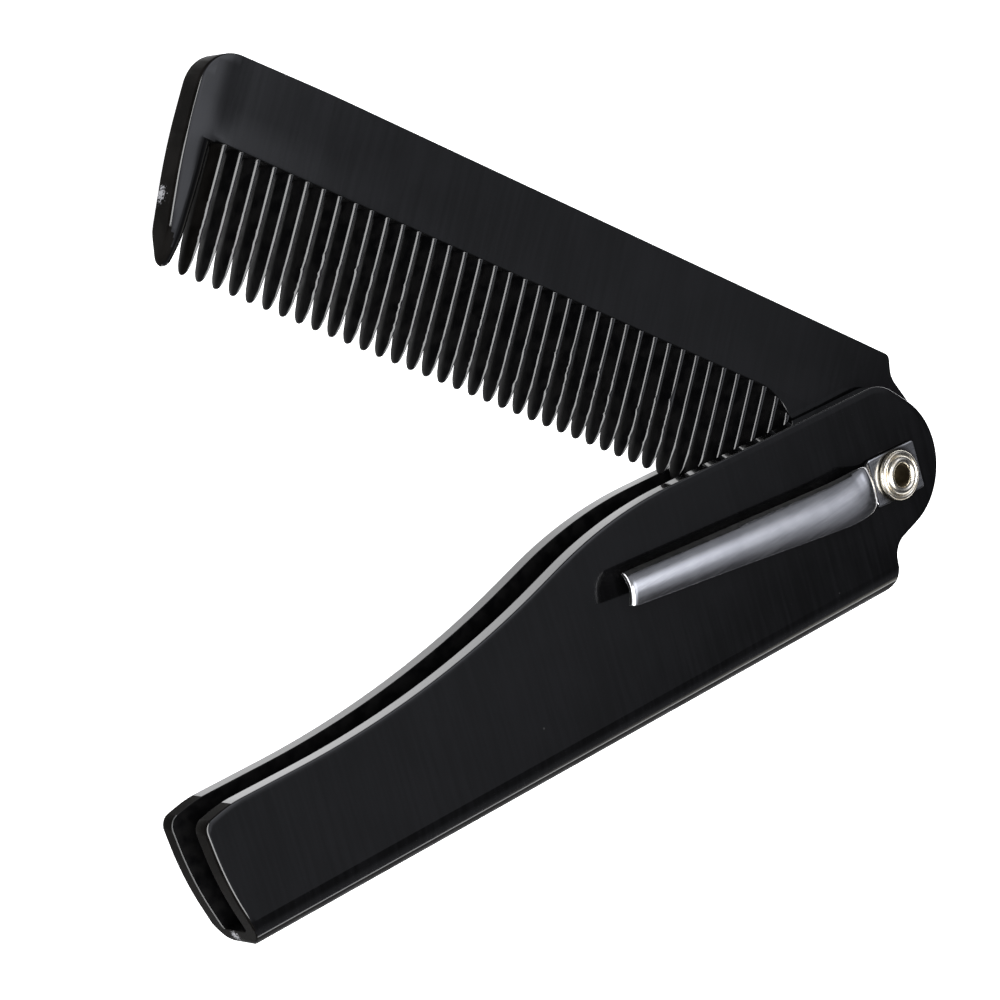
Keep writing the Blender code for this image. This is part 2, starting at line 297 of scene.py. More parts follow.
def loft(rings):
    """A closed solid through rings of equal length."""
    made = bmesh.new()
    verts = [[made.verts.new(point) for point in ring] for ring in rings]
    for lower, upper in zip(verts, verts[1:]):
        for index in range(len(lower)):
            after = (index + 1) % len(lower)
            made.faces.new((lower[index], lower[after], upper[after], upper[index]))
    made.faces.new(reversed(verts[0]))
    made.faces.new(verts[-1])
    return made


def slab(outline, bottom, top, side_edge, end_edge, lip_width=0.0, lip_drop=0.0):
    """A closed slab between two heights.

    Its rims are rounder at the end that faces -X, and its faces may drop to a slight lip along the side
    that faces +Y.
    """
    lips = [lip_drop * clamp(outward.y * 2) for point, outward in outline]
    edges = [side_edge + (end_edge - side_edge) * max(0.0, -outward.x) ** 2 for point, outward in outline]
    rings = []
    for side, height in ((1, bottom), (-1, top)):
        layers = []
        if lip_drop > 0:
            for inset in (1.0, 0.6):
                ring = []
                for (point, outward), lip in zip(outline, lips):
                    place_at = point - outward * lip_width * inset
                    ring.append((place_at.x, place_at.y, height + side * lip * (1 - inset) ** 2))
                layers.append(ring)
        for turn in quarter(RIM_STEPS):
            ring = []
            for (point, outward), edge, lip in zip(outline, edges, lips):
                place_at = point - outward * edge * (1 - math.sin(turn))
                drop = lip + edge * (1 - math.cos(turn))
                ring.append((place_at.x, place_at.y, height + side * drop))
            layers.append(ring)
        rings += layers if side > 0 else layers[::-1]
    return loft(rings)


def soft_section(corners, cuts):
    """A closed section whose corners are cut back and rounded."""
    steps = 2
    longest_cut = 0.48
    points = []
    for index, corner in enumerate(corners):
        here = Vector(corner)
        before = Vector(corners[index - 1]) - here
        after = Vector(corners[(index + 1) % len(corners)]) - here
        first = here + before * min(longest_cut, cuts[index] / before.length)
        last = here + after * min(longest_cut, cuts[index] / after.length)
        for step in range(steps + 1):
            t = step / steps
            points.append(first * (1 - t) ** 2 + here * (2 * t * (1 - t)) + last * t ** 2)
    return points


def cylinder(name, radius, bottom, top):
    """A plain round cutter on the rivet's axis."""
    made = bmesh.new()
    place_at = Matrix.Translation((0.0, 0.0, (bottom + top) / 2))
    bmesh.ops.create_cone(made, cap_ends=True, segments=TURNED_SIDES, radius1=radius, radius2=radius,
                          depth=top - bottom, matrix=place_at)
    return new_object(name, made)


def apply_modifiers(item):
    """Freeze what the modifiers make."""
    bpy.context.view_layer.update()
    graph = bpy.context.evaluated_depsgraph_get()
    mesh = bpy.data.meshes.new_from_object(item.evaluated_get(graph), preserve_all_data_layers=True,
                                           depsgraph=graph)
    item.modifiers.clear()
    old = item.data
    item.data = mesh
    bpy.data.meshes.remove(old)


def carve(item, steps):
    """Apply exact Booleans with helpers and drop the helpers."""
    for operation, other in steps:
        step = item.modifiers.new(other.name, "BOOLEAN")
        step.operation = operation
        step.object = other
        step.solver = "EXACT"
    apply_modifiers(item)
    for operation, other in steps:
        bpy.data.objects.remove(other, do_unlink=True)


def round_rims(item, width, angle_deg):
    """Round what is still sharp."""
    rim = item.modifiers.new("rim", "BEVEL")
    rim.width = width
    rim.segments = 2
    rim.limit_method = "ANGLE"
    rim.angle_limit = math.radians(angle_deg)
    rim.use_clamp_overlap = False
    rim.miter_outer = "MITER_SHARP"
    apply_modifiers(item)


def smooth(item, sharp_deg):
    """Smooth shading that keeps broad faces flat."""
    item.data.shade_smooth()
    item.data.set_sharp_from_angle(angle=math.radians(sharp_deg))
    even = item.modifiers.new("even", "WEIGHTED_NORMAL")
    even.mode = "FACE_AREA"
    even.weight = 70
    even.keep_sharp = True
    apply_modifiers(item)


def slice_mesh(made, axis, cuts, chosen=lambda face: True):
    """Cut chosen faces along planes square to an axis, at places in millimetres."""
    normal = Vector((axis == "x", axis == "y", axis == "z"))
    for cut in cuts:
        faces = [face for face in made.faces if chosen(face)]
        edges = {edge for face in faces for edge in face.edges}
        verts = {vert for face in faces for vert in face.verts}
        bmesh.ops.bisect_plane(made, geom=faces + list(edges) + list(verts), plane_co=normal * cut * MM,
                               plane_no=normal, dist=1e-8)


# Handle

def spine_cutter(side):
    """The stock outside the spine's rounding, on the front or the back."""
    centre_y = SPINE_Y + SPINE_ROUNDING
    centre_z = HANDLE_THICKNESS / 2 - SPINE_ROUNDING
    half_step = math.pi / 4 / SPINE_STEPS
    reach = SPINE_ROUNDING / math.cos(half_step)
    profile = []
    for step in range(SPINE_STEPS):
        turn = math.pi / 2 * (step + 0.5) / SPINE_STEPS
        profile.append((centre_y - reach * math.sin(turn), centre_z + reach * math.cos(turn)))
    past = 2 * MM
    slope = math.tan(half_step)
    profile.append((profile[-1][0] - past * slope, profile[-1][1] - past))
    profile.append((SPINE_Y - past, profile[-1][1]))
    profile.append((SPINE_Y - past, HANDLE_THICKNESS / 2 + past))
    profile.append((profile[0][0] + past, HANDLE_THICKNESS / 2 + past))
    profile.append((profile[0][0] + past, profile[0][1] + past * slope))
    rings = [[Vector((x, y, HANDLE_THICKNESS / 2 + side * z)) for y, z in profile]
             for x in (-90 * MM, 10 * MM)]
    return new_object("spine_" + ("front" if side > 0 else "back"), loft(rings))


def channel_cutter():
    """The channel between the plates, with a small fillet at the foot of each wall."""
    floor = SPINE_Y + SPINE_WALL
    low = PLATE_THICKNESS
    high = HANDLE_THICKNESS - PLATE_THICKNESS
    reach = 100 * MM
    fillet = [(floor + CHANNEL_FILLET * (1 - math.sin(turn)), CHANNEL_FILLET * (1 - math.cos(turn)))
              for turn in quarter(FILLET_STEPS)]
    profile = [(reach, low)]
    profile += [(y, low + rise) for y, rise in fillet]
    profile += [(y, high - rise) for y, rise in reversed(fillet)]
    profile.append((reach, high))
    rings = [[Vector((x, y, z)) for y, z in profile] for x in (-reach, reach)]
    return new_object("channel", loft(rings))


def make_handle():
    """Two plates and a rounded spine round the blade's channel."""
    item = new_object("handle_shell", slab(belt(HANDLE_BELT), 0.0, HANDLE_THICKNESS, HANDLE_SIDE_EDGE,
                                           HANDLE_END_EDGE, HANDLE_LIP_WIDTH, HANDLE_LIP_DROP))
    carve(item, [
        ("DIFFERENCE", spine_cutter(1)),
        ("DIFFERENCE", spine_cutter(-1)),
        ("DIFFERENCE", channel_cutter()),
        ("DIFFERENCE", cylinder("hole", PIVOT_HOLE_RADIUS, -CUT_MARGIN, HANDLE_THICKNESS + CUT_MARGIN)),
        ("DIFFERENCE", cylinder("recess", COUNTERBORE_RADIUS, -CUT_MARGIN, COUNTERBORE_DEPTH)),
    ])
    round_rims(item, INNER_RIM, 50.0)
    smooth(item, 40.0)
    return item


# Blade

def root_drop(x):
    """How far the root line has bent down at a tooth near the pivot."""
    past = x - LAST_STRAIGHT_ROOT_X
    if past <= 0:
        return 0.0
    return ROOT_BEND_RADIUS - math.sqrt(ROOT_BEND_RADIUS ** 2 - past ** 2)


def between(rows, value):
    """A table's row at a value of its first, falling column, worked out in a straight line."""
    for upper, lower in zip(rows, rows[1:]):
        if lower[0] <= value <= upper[0]:
            part = (upper[0] - value) / (upper[0] - lower[0])
            return [a + (b - a) * part for a, b in zip(upper, lower)]
    return list(rows[-1])


def tooth_section(height):
    """Width, ridge, thickness and softness of a tooth at a height, narrowing to a round tip."""
    if height >= TOOTH_TIP_START:
        return between(TOOTH_SECTIONS, height)[1:]
    part = (TOOTH_TIP_START - height) / (TOOTH_TIP_START - TIP_Y / MM)
    keep = TOOTH_TIP_LEAST + (1 - TOOTH_TIP_LEAST) * math.sqrt(max(0.0, 1 - part ** TOOTH_TIP_POWER))
    return [value * keep for value in between(TOOTH_SECTIONS, TOOTH_TIP_START)[1:]]


def tooth_ring(x, y, section, burr):
    """One tooth section: narrow ridges front and back, widest in the middle, with softened corners."""
    width, ridge, thickness, soft = (value * MM for value in section)
    deep = thickness / 2
    corners = [(ridge / 2, deep), (-ridge / 2 - burr, deep - ridge * RIDGE_TILT), (-width / 2, 0.0),
               (-ridge / 2, -deep), (ridge / 2, -deep), (width / 2, 0.0)]
    cuts = [soft, soft, soft * 3, soft, soft, soft * 3]
    return [Vector((x + point.x, y, BLADE_MID_Z + point.y)) for point in soft_section(corners, cuts)]


def make_teeth():
    """All teeth as one helper that is joined to the blade, with small moulding burrs along the ridges."""
    rng = random.Random(7)
    heights = [*TOOTH_ROOT_HEIGHTS, *TOOTH_UPPER_HEIGHTS]
    while heights[-1] > TOOTH_SHANK_END:
        heights.append(heights[-1] - TOOTH_SHANK_STEP)
    heights += TOOTH_TIP_HEIGHTS
    teeth = bmesh.new()
    for number in range(TOOTH_COUNT):
        x = FIRST_TOOTH_X + number * TOOTH_PITCH
        drop = root_drop(x)
        roughness = rng.choice(BURR_AMOUNTS) * BURR_HEIGHT
        rings = []
        for row, height in enumerate(heights):
            burr = 0.0
            if BURR_LOW < height < BURR_HIGH:
                burr = max(0.0, rng.gauss(0.0, roughness)) * MM
            lowered = height * MM - (drop if row < len(TOOTH_ROOT_HEIGHTS) else 0.0)
            rings.append(tooth_ring(x, lowered, tooth_section(height), burr))
        tooth = loft(rings)
        bmesh.ops.recalc_face_normals(tooth, faces=tooth.faces)
        mesh = bpy.data.meshes.new("tooth")
        tooth.to_mesh(mesh)
        tooth.free()
        teeth.from_mesh(mesh)
        bpy.data.meshes.remove(mesh)
    return new_object("blade_teeth", teeth)


def guard_flank_cutter(side):
    """The stock outside the rounded inner side of the guard tooth, on the front or the back."""
    half = BLADE_THICKNESS / 2
    far = GUARD_ZONE_X - NEAR
    rings = []
    for y, right in GUARD_RIGHT:
        centre = right * MM - GUARD_FLANK
        profile = [(centre - 0.02 * MM, half + 0.01 * MM)]
        for turn in quarter(FLANK_STEPS)[1:]:
            profile.append((centre + GUARD_FLANK * math.sin(turn) ** GUARD_FLANK_POWER,
                            half * math.cos(turn) ** GUARD_FLANK_POWER))
        profile += [(far, 0.0), (far, half * 1.5), (centre - 0.02 * MM, half * 1.5)]
        rings.append([Vector((x, y * MM, BLADE_MID_Z + side * z)) for x, z in profile])
    return new_object("guard_flank_" + ("front" if side > 0 else "back"), loft(rings))


def face_share(x, y):
    """Share of the half thickness that is left at a place of the slightly hollow and crowned front."""
    below = clamp(y, FACE_DIP_LOW_Y, FACE_DIP_PEAK_Y) - FACE_DIP_LOW_Y
    above = clamp(y, FACE_DIP_PEAK_Y, FACE_DIP_HIGH_Y) - FACE_DIP_PEAK_Y
    fall = FACE_DIP_SLOPE * (below ** 2 / 2 / (FACE_DIP_PEAK_Y - FACE_DIP_LOW_Y)
                             + above - above ** 2 / 2 / (FACE_DIP_HIGH_Y - FACE_DIP_PEAK_Y))
    fall *= 1 - FACE_DIP_BACK_FADE * ease((y - FACE_DIP_HIGH_Y) / (BACK_Y - FACE_DIP_HIGH_Y))
    fall *= 1 - FACE_DIP_END_FADE * ease((FACE_DIP_END_X - x) / FACE_DIP_END_LENGTH)
    from_edge = x - GUARD_LEFT_X - GUARD_LEFT_SLOPE * y
    lean = ease((LEAN_TOP_Y - y) / LEAN_HEIGHT)
    fall += END_CROWN_CURVE * (1 + LEAN_GAIN * lean) * max(0.0, END_CROWN_WIDTH - from_edge) ** 2
    if x < GUARD_ZONE_X:
        across = max(0.0, from_edge - GUARD_CREST)
        crowned = ease((LEAN_TOP_Y - y) / GUARD_CROWN_HEIGHT)
        fall += GUARD_CROWN / 2 * across ** 2 * crowned - GUARD_LIFT * lean
    return 1 - fall / (BLADE_THICKNESS / 2)


def guard_tip(x, y, z):
    """Where a point of the guard tooth goes so that its tip becomes oval."""
    part = clamp((TIP_Y + GUARD_TIP_LENGTH - y) / GUARD_TIP_LENGTH, 0.0, GUARD_TIP_LAST_PART)
    if part == 0.0 or x > GUARD_ZONE_X:
        return x, z
    left = GUARD_LEFT_X + GUARD_LEFT_SLOPE * y
    right = between(GUARD_RIGHT, y / MM)[1] * MM
    middle = (left + right) / 2
    across = clamp((x - middle) / (right - middle), -1.0, 1.0)
    deep = clamp(z / (BLADE_THICKNESS / 2), -1.0, 1.0)
    oval = ease(part * GUARD_TIP_OVAL_RATE)
    keep = math.sqrt(1 - part ** 2)
    new_across = across * (1 - oval + oval * math.sqrt(1 - deep ** 2 / 3)) * keep ** GUARD_TIP_WIDTH_POWER
    new_deep = deep * (1 - oval + oval * math.sqrt(1 - across ** 2 / 2)) * keep
    return middle + new_across * (right - middle), new_deep * BLADE_THICKNESS / 2


def in_guard(face):
    """Whether a face belongs to the guard tooth or to the blade above it."""
    return face.calc_center_median().x < GUARD_ZONE_X


def in_guard_tip(face):
    """Whether a face belongs to the guard tooth's tip."""
    return in_guard(face) and face.calc_center_median().y < TIP_Y + GUARD_TIP_LENGTH


def shape_blade(item):
    """Hollow and crown the blade's front a little and round the guard tooth's tip."""
    made = bmesh.new()
    made.from_mesh(item.data)
    # The cuts are closest where the face bends most.
    slice_mesh(made, "x", (-85.2, -84.8, -84.4, -84.0, -83.6, -83.2, -82.8, -82.2, -81.4, -80.5))
    slice_mesh(made, "y", (10.2, 8.6, 7.0, 6.3, 5.6, 5.0, 4.4, 3.9, 3.6))
    slice_mesh(made, "y", (3.2, 2.8, 2.3, 1.4, 0.5, -1.0, -3.0), in_guard)
    lengths = [GUARD_TIP_LENGTH * (1 - math.sin(turn)) for turn in quarter(FLANK_STEPS)[:-1]]
    slice_mesh(made, "y", [(TIP_Y + length) / MM for length in lengths], in_guard)
    depths = (-1.2, -0.9, -0.6, -0.3, 0.0, 0.3, 0.6, 0.9, 1.2)
    slice_mesh(made, "z", [BLADE_MID_Z / MM + depth for depth in depths], in_guard_tip)
    for vert in made.verts:
        x, y, z = vert.co
        z -= BLADE_MID_Z
        if z > 0:
            z *= face_share(x, y)
        x, z = guard_tip(x, y, z)
        vert.co = Vector((x, y, BLADE_MID_Z + z))
    made.to_mesh(item.data)
    made.free()


def make_blade():
    """The comb's back with its guard tooth, fine teeth and pivot end."""
    top = BLADE_BOTTOM_Z + BLADE_THICKNESS
    shell = slab(belt(BLADE_BELT), BLADE_BOTTOM_Z, top, BLADE_SIDE_EDGE, BLADE_END_EDGE)
    item = new_object("comb_shell", shell)
    carve(item, [("DIFFERENCE", guard_flank_cutter(1)), ("DIFFERENCE", guard_flank_cutter(-1))])
    shape_blade(item)
    carve(item, [
        ("UNION", make_teeth()),
        ("DIFFERENCE", cylinder("hole", PIVOT_HOLE_RADIUS, 0.0, HANDLE_THICKNESS)),
    ])
    smooth(item, 35.0)
    return item


# Clip

def smooth_rows(rows, count):
    """Rows of a table run through by a smooth curve."""
    result = []
    for index in range(len(rows) - 1):
        before = rows[max(0, index - 1)]
        here = rows[index]
        there = rows[index + 1]
        after = rows[min(len(rows) - 1, index + 2)]
        span = abs(there[0] - here[0])
        span_in = abs(there[0] - before[0])
        span_out = abs(after[0] - here[0])
        for step in range(count):
            t = step / count
            row = []
            for column in range(len(here)):
                slope_in = (there[column] - before[column]) / span_in * span
                slope_out = (after[column] - here[column]) / span_out * span
                row.append((2 * t ** 3 - 3 * t ** 2 + 1) * here[column] + (t ** 3 - 2 * t ** 2 + t) * slope_in
                           + (-2 * t ** 3 + 3 * t ** 2) * there[column] + (t ** 3 - t ** 2) * slope_out)
            result.append(row)
    result.append(list(rows[-1]))
    return result


def clip_ring(row):
    """One clip section: the arched sheet, flatter on the low side, rolled over along the high one."""
    x, centre, half_width, height, arch = (value * MM for value in row)
    arch *= CLIP_ARCH_SHARE
    arched = min(1.0, arch / CLIP_FULL_ARCH)
    roll = CLIP_ROLL * arched
    rim_drop = CLIP_RIM_DROP * arched
    lowered = TAB_DROP * max(0.0, 1 - max(0.0, height) / CLIP_RAMP_HEIGHT)
    half_sheet = CLIP_SHEET_SHOWN / 2
    middle = CLIP_BASE_Z - lowered + height + CLIP_SHEET - half_sheet - CLIP_SINK * arched
    shear = CLIP_TIP_SHEAR * ease((CLIP_SHEAR_START_X - x) / CLIP_SHEAR_LENGTH)
    soft = CLIP_SHEET_SOFTNESS
    over = []
    under = []
    for index in range(CLIP_POINTS_ACROSS + 1):
        across = 2 * index / CLIP_POINTS_ACROSS - 1
        share = 1.0 if across > 0 else CLIP_LOW_SIDE
        rim = max(0.0, across - 1 + CLIP_RIM_SHARE) / CLIP_RIM_SHARE
        slope = -2 * arch * share * across / half_width - roll
        slope -= 2 * rim_drop * rim / (CLIP_RIM_SHARE * half_width)
        normal = Vector((0.0, -slope, 1.0)).normalized()
        along = Vector((0.0, 1.0, slope)).normalized()
        rise = arch * (1 - share * across ** 2) - roll * half_width * across - rim_drop * rim ** 2
        point = Vector((x + shear * half_width * across, centre + half_width * across, middle + rise))
        top = point + normal * half_sheet
        bottom = point - normal * half_sheet
        if index in (0, CLIP_POINTS_ACROSS):
            inward = along if index == 0 else -along
            near = [top + inward * soft, top + inward * soft * 0.3 - normal * soft * 0.3, top - normal * soft]
            far = [bottom + inward * soft, bottom + inward * soft * 0.3 + normal * soft * 0.3,
                   bottom + normal * soft]
            over += near[::-1] if index == 0 else near
            under += far[::-1] if index == 0 else far
        else:
            over.append(top)
            under.append(bottom)
    return over + under[::-1]


def make_clip():
    """The tab round the rivet, the ramp and the arched strip."""
    rows = smooth_rows(CLIP_SECTIONS, CLIP_STEPS_PER_ROW)
    item = new_object("clip_strip", loft([clip_ring(row) for row in rows]))
    hole = cylinder("hole", PIVOT_HOLE_RADIUS, CLIP_BASE_Z - CUT_MARGIN, CLIP_BASE_Z + CUT_MARGIN)
    carve(item, [("DIFFERENCE", hole)])
    round_rims(item, CLIP_EDGE, 60.0)
    smooth(item, 40.0)
    return item


# Rivet

def rivet_profile():
    """Half section of the hollow rivet as radius and height, in millimetres, with a rolled ring on top."""
    tab_top = (CLIP_BASE_Z - TAB_DROP + CLIP_SHEET) / MM
    back_flange = [(2.30, 0.05), (2.40, 0.12), (2.42, 0.25), (2.42, 0.50), (2.36, 0.55), (1.50, 0.55)]
    ring = [(radius, tab_top + height) for radius, height in RIVET_RING]
    bore = [(1.07, 3.0), (1.07, 0.5), (1.14, 0.28), (1.24, 0.14), (1.42, 0.06), (1.70, 0.05)]
    return back_flange + [(1.50, tab_top)] + ring + bore


def make_rivet():
    """The hollow rivet, turned from its half section."""
    made = bmesh.new()
    profile = rivet_profile()
    rings = []
    for side in range(RIVET_SIDES):
        angle = math.tau * side / RIVET_SIDES
        ring = []
        for radius, height in profile:
            point = Vector((radius * math.cos(angle), radius * math.sin(angle), height)) * MM
            ring.append(made.verts.new(point))
        rings.append(ring)
    for side in range(RIVET_SIDES):
        here = rings[side]
        there = rings[(side + 1) % RIVET_SIDES]
        for index in range(len(profile)):
            after = (index + 1) % len(profile)
            made.faces.new((here[index], there[index], there[after], here[after]))
    item = new_object("eyelet", made)
    smooth(item, 50.0)
    return item


# Which finish each face has: its place in the piece's list of finishes

POLISHED = 0
# The satin and hollow finishes are partly painted shade: their reflection is turned down where the
# surroundings lie in shade.
SATIN_SHADE = 1
HOLLOW_SHADE = 2
BRIGHT = 0
# The dull metal is painted shade.
DULL_SHADE = 1
UPRIGHT = 0.8
CHANNEL_END_X = -78 * MM
# The satin finish, with its painted shade, starts past these places at each plate's free end and low on the
# spine.
BACK_PLATE_SATIN_SHADE_X = -81.7 * MM
FRONT_PLATE_SATIN_SHADE_X = -82.2 * MM
SPINE_SATIN_SHADE_TURN = -0.60
BLADE_END_X = -81 * MM
GUARD_FINISH_X = -82.7 * MM
GUARD_SATIN_SHADE_TOP_Y = TIP_Y + 3.4 * MM
GUARD_GLINT_TOP_Y = TIP_Y + 0.4 * MM
FIRST_GAP_X = -83.5 * MM
LAST_GAP_X = -6 * MM
TOOTH_GLINT_TOP_Y = TIP_Y + 0.06 * MM
TAB_END_X = -3.3 * MM
BORE_SIDE_RADIUS = 1.3 * MM
BORE_LOW_LIP_Z = 0.4 * MM
BORE_HIGH_LIP_Z = 7.6 * MM


def handle_finish(centre, normal):
    """Satin with painted shade at the free end and low on the spine, dark painted shade inside the channel,
    polished elsewhere.
    """
    inside = PLATE_THICKNESS - NEAR < centre.z < HANDLE_THICKNESS - PLATE_THICKNESS + NEAR
    upright = abs(normal.z) < UPRIGHT
    satin_shade_x = BACK_PLATE_SATIN_SHADE_X if centre.z < HANDLE_THICKNESS / 2 else FRONT_PLATE_SATIN_SHADE_X
    if inside and centre.x < CHANNEL_END_X and normal.x < -0.2 and normal.z > 0.2:
        return POLISHED
    if normal.x < -0.5 and upright:
        return SATIN_SHADE
    if inside and centre.y > SPINE_Y + SPINE_WALL - NEAR:
        return HOLLOW_SHADE
    if centre.x < satin_shade_x and upright:
        return SATIN_SHADE
    return SATIN_SHADE if normal.y < SPINE_SATIN_SHADE_TURN else POLISHED


def blade_finish(centre, normal):
    """Satin with painted shade at the free end and on the guard tooth's tip, dark painted shade between the
    teeth, polished elsewhere.
    """
    on_guard = centre.x < GUARD_FINISH_X
    at_end = centre.x < BLADE_END_X
    between_teeth = (FIRST_GAP_X < centre.x < LAST_GAP_X) and (TOOTH_GLINT_TOP_Y < centre.y < ROOT_Y + NEAR)
    if normal.x < -0.3 and at_end and abs(normal.z) < UPRIGHT:
        return SATIN_SHADE
    if on_guard and centre.y < GUARD_SATIN_SHADE_TOP_Y:
        flat = abs(normal.z) > (0.985 if normal.x < -0.05 else 0.5)
        return POLISHED if flat or centre.y < GUARD_GLINT_TOP_Y else SATIN_SHADE
    if abs(normal.z) > (0.1 if on_guard else 0.5):
        return POLISHED
    if between_teeth:
        return HOLLOW_SHADE
    return SATIN_SHADE if normal.x < -0.5 and at_end else POLISHED


def clip_finish(centre, normal):
    """The clip's underside, its cut edges and the tab's long edges get dark, dull metal as painted shade, the
    rest is brushed.
    """
    tab_side = centre.x > TAB_END_X and abs(normal.y) > 0.6
    cut_edge = normal.x < -0.93 or normal.y > 0.70
    return DULL_SHADE if normal.z < -0.3 or tab_side or cut_edge else BRIGHT


def rivet_finish(centre, normal):
    """The bore below its lip gets dark metal as painted shade."""
    radius = math.hypot(centre.x, centre.y)
    return DULL_SHADE if radius < BORE_SIDE_RADIUS and BORE_LOW_LIP_Z < centre.z < BORE_HIGH_LIP_Z else BRIGHT


# Finishes

class Nodes:
    """Short calls for the nodes that the finishes and the studio share."""

    def __init__(self, tree):
        self.tree = tree

    def link(self, value, socket):
        """Link an output to a socket, or set the socket to a plain value."""
        if hasattr(value, "is_output"):
            self.tree.links.new(value, socket)
        else:
            socket.default_value = value

    def coordinates(self, kind="Object"):
        return self.tree.nodes.new("ShaderNodeTexCoord").outputs[kind]

    def maths(self, operation, first, second):
        node = self.tree.nodes.new("ShaderNodeMath")
        node.operation = operation
        self.link(first, node.inputs[0])
        self.link(second, node.inputs[1])
        return node.outputs[0]

    def product(self, first, second):
        return self.maths("MULTIPLY", first, second)

    def total(self, first, second):
        return self.maths("ADD", first, second)

    def vector(self, operation, first, second=None, scale=None):
        node = self.tree.nodes.new("ShaderNodeVectorMath")
        node.operation = operation
        self.link(first, node.inputs[0])
        if second is not None:
            self.link(second, node.inputs[1])
        if scale is not None:
            self.link(scale, node.inputs["Scale"])
        return node.outputs["Value" if operation in ("DOT_PRODUCT", "LENGTH") else "Vector"]

    def stretch(self, vector, turn_deg, scale):
        """Coordinates turned about Z and stretched."""
        turned = self.tree.nodes.new("ShaderNodeVectorRotate")
        turned.rotation_type = "Z_AXIS"
        self.link(vector, turned.inputs["Vector"])
        turned.inputs["Angle"].default_value = math.radians(turn_deg)
        return self.vector("MULTIPLY", turned.outputs["Vector"], scale)

    def noise(self, vector, scale, detail):
        node = self.tree.nodes.new("ShaderNodeTexNoise")
        self.link(vector, node.inputs["Vector"])
        node.inputs["Scale"].default_value = scale
        node.inputs["Detail"].default_value = detail
        return node.outputs[0]

    def remap(self, value, low, high, out_low=0.0, out_high=1.0):
        """A smooth step of a value between two limits."""
        node = self.tree.nodes.new("ShaderNodeMapRange")
        node.interpolation_type = "SMOOTHSTEP"
        self.link(value, node.inputs["Value"])
        node.inputs["From Min"].default_value = low
        node.inputs["From Max"].default_value = high
        node.inputs["To Min"].default_value = out_low
        node.inputs["To Max"].default_value = out_high
        return node.outputs["Result"]

    def mix(self, share, first, second):
        """A colour between two, each given as red, green and blue or as an output."""
        node = self.tree.nodes.new("ShaderNodeMix")
        node.data_type = "RGBA"
        self.link(share, node.inputs[0])
        for colour, socket in ((first, node.inputs[6]), (second, node.inputs[7])):
            self.link((*colour, 1.0) if isinstance(colour, tuple) else colour, socket)
        return node.outputs[2]

    def bump(self, height, strength, distance):
        node = self.tree.nodes.new("ShaderNodeBump")
        node.inputs["Strength"].default_value = strength
        node.inputs["Distance"].default_value = distance
        self.link(height, node.inputs["Height"])
        return node.outputs["Normal"]


def node_material(name):
    """An empty node material with its Principled shader."""
    made = bpy.data.materials.new(name)
    made.use_nodes = True
    return made, Nodes(made.node_tree), made.node_tree.nodes["Principled BSDF"].inputs


def polished_black(name, turn_deg):
    """Polished black plastic with faint rubbing marks across the piece, smudges and a few specks of dust."""
    made, nodes, shader = node_material(name)
    place_at = nodes.coordinates()
    streaks = nodes.noise(nodes.stretch(place_at, turn_deg, (2600.0, 110.0, 110.0)), 1.0, 3.0)
    smudges = nodes.noise(place_at, 190.0, 4.0)
    grain = nodes.noise(place_at, 5200.0, 2.0)
    haze = nodes.total(nodes.product(streaks, 0.55), nodes.product(smudges, 0.45))
    cells = nodes.tree.nodes.new("ShaderNodeTexVoronoi")
    cells.inputs["Scale"].default_value = 420.0
    nodes.link(place_at, cells.inputs["Vector"])
    dot = nodes.remap(cells.outputs["Distance"], 0.035, 0.075, 1.0, 0.0)
    chosen = nodes.tree.nodes.new("ShaderNodeSeparateColor")
    nodes.link(cells.outputs["Color"], chosen.inputs[0])
    speck = nodes.product(dot, nodes.remap(chosen.outputs[0], 0.90, 1.0))
    film = nodes.mix(nodes.remap(haze, 0.35, 0.67), (0.0014, 0.0014, 0.0015), (0.0025, 0.0025, 0.0028))
    nodes.link(nodes.mix(speck, film, (0.10, 0.10, 0.10)), shader["Base Color"])
    nodes.link(nodes.remap(haze, 0.35, 0.68, 0.085, 0.115), shader["Roughness"])
    nodes.link(nodes.bump(nodes.total(grain, nodes.product(streaks, 0.5)), 0.05, 0.01 * MM), shader["Normal"])
    shader["IOR"].default_value = 1.5
    return made


def satin_shade_black(name, scuff_at, scuff_radius):
    """The moulded, unpolished surface of ends and outer walls, with its reflection turned almost off as
    painted shade, and with one scuffed patch.
    """
    made, nodes, shader = node_material(name)
    place_at = nodes.coordinates()
    patches = nodes.noise(place_at, 420.0, 4.0)
    grain = nodes.noise(place_at, 6500.0, 2.0)
    clean = nodes.mix(nodes.remap(patches, 0.36, 0.66), (0.0022, 0.0020, 0.0018), (0.0046, 0.0042, 0.0039))
    away = nodes.vector("LENGTH", nodes.vector("SUBTRACT", place_at, scuff_at))
    ragged = nodes.total(away, nodes.product(nodes.noise(place_at, 6000.0, 2.0), scuff_radius * 3.0))
    scuff = nodes.remap(ragged, scuff_radius * 1.8, scuff_radius * 2.3, 1.0, 0.0)
    nodes.link(nodes.mix(scuff, clean, (0.20, 0.20, 0.21)), shader["Base Color"])
    nodes.link(nodes.remap(patches, 0.3, 0.7, 0.30, 0.46), shader["Roughness"])
    nodes.link(nodes.bump(grain, 0.15, 0.02 * MM), shader["Normal"])
    shader["IOR"].default_value = 1.5
    # Painted shade: the reflection is turned almost off, so these faces look as if they saw shaded floor.
    shader["Specular IOR Level"].default_value = 0.004
    return made


